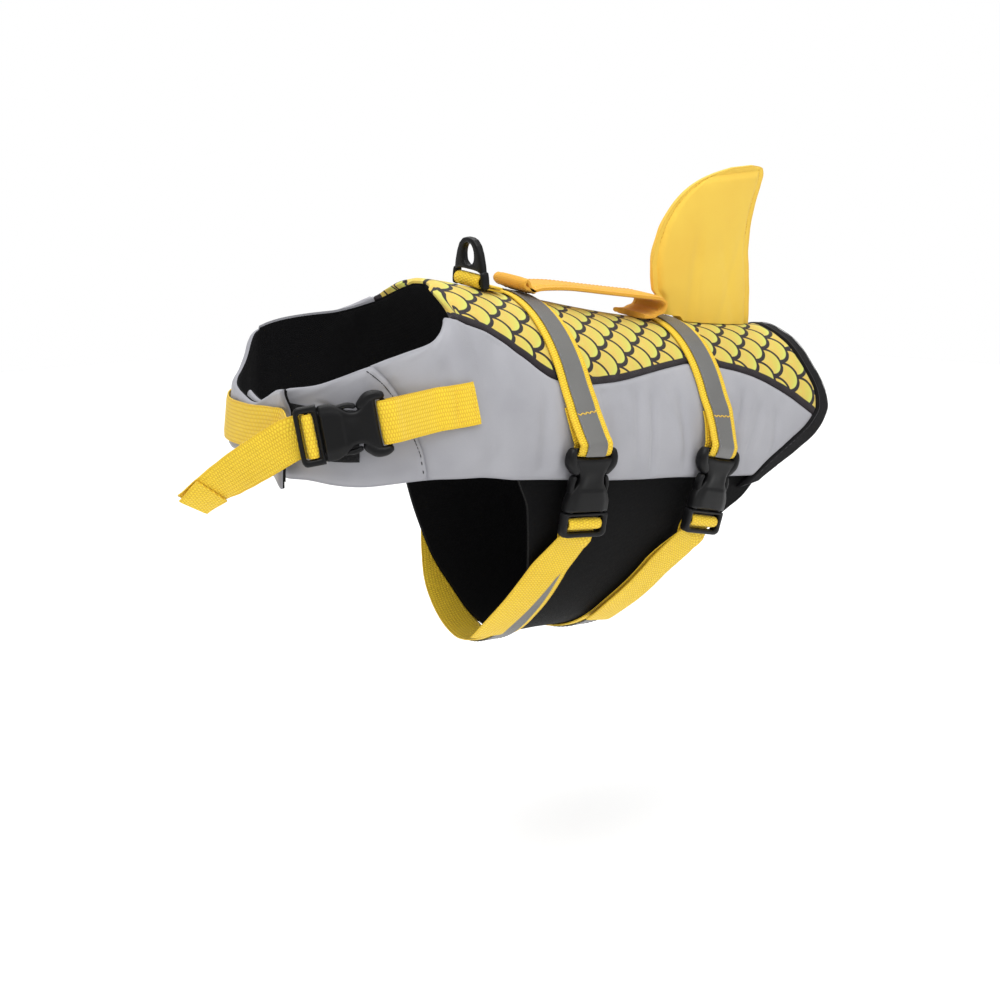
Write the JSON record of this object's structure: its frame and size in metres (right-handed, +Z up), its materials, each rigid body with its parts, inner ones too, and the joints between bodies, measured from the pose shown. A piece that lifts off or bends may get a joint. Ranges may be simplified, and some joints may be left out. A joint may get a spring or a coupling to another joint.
{
  "type": "dog life jacket",
  "caption": "Dog life jacket with a scale-print back, fin, grab handle, leash ring, belly panel, chest wings and buckled girth and neck straps.",
  "frame": {"origin": "on the inside of the back panel, on the spine under the middle of the grab handle, where the wearer's back carries the jacket", "axes": "+Z up, -Y towards the nose end and +Y towards the tail end along the spine, +X towards the wearer's left side"},
  "size_m": [0.1482, 0.4163, 0.2573],
  "materials": {
    "scale_cloth": "printed polyester, yellow-green scales with dark outlines",
    "grey_cloth": "smooth light grey woven polyester",
    "neoprene": "black smooth neoprene with a knit face",
    "binding": "black woven binding",
    "yellow_webbing": "yellow ribbed polyester webbing",
    "reflective_tape": "grey reflective tape",
    "touch_fastener": "black hook and loop tape",
    "yellow_cloth": "warm yellow woven polyester",
    "black_plastic": "moulded black acetal, satin"
  },
  "bodies": {
    "jacket": {"back_panel": "scale_cloth", "belly_panel": "neoprene", "chest_wing_left": "grey_cloth", "chest_wing_right": "grey_cloth", "fin": "yellow_cloth", "front_girth_buckle_plug": "black_plastic", "front_girth_buckle_socket": "black_plastic", "front_girth_strap": "yellow_webbing", "front_girth_tape": "reflective_tape", "grab_handle": "yellow_cloth", "hook_patch": "touch_fastener", "loop_patch": "touch_fastener", "neck_buckle_plug": "black_plastic", "neck_buckle_socket": "black_plastic", "neck_loop": "yellow_webbing", "neck_strap": "yellow_webbing", "rear_binding": "binding", "rear_girth_buckle_plug": "black_plastic", "rear_girth_buckle_socket": "black_plastic", "rear_girth_strap": "yellow_webbing", "rear_girth_tape": "reflective_tape", "ring_webbing": "yellow_webbing", "side_panel_left": "grey_cloth", "side_panel_right": "grey_cloth"},
    "leash_ring": {"leash_ring": "black_plastic"}
  },
  "joints": [
    {"name": "leash_ring_hinge", "type": "hinge", "parent": "jacket", "child": "leash_ring", "pos_m": [0, -0.083, 0.03185], "axis": [1, 0, 0], "range_deg": [-65, 65]}
  ]
}
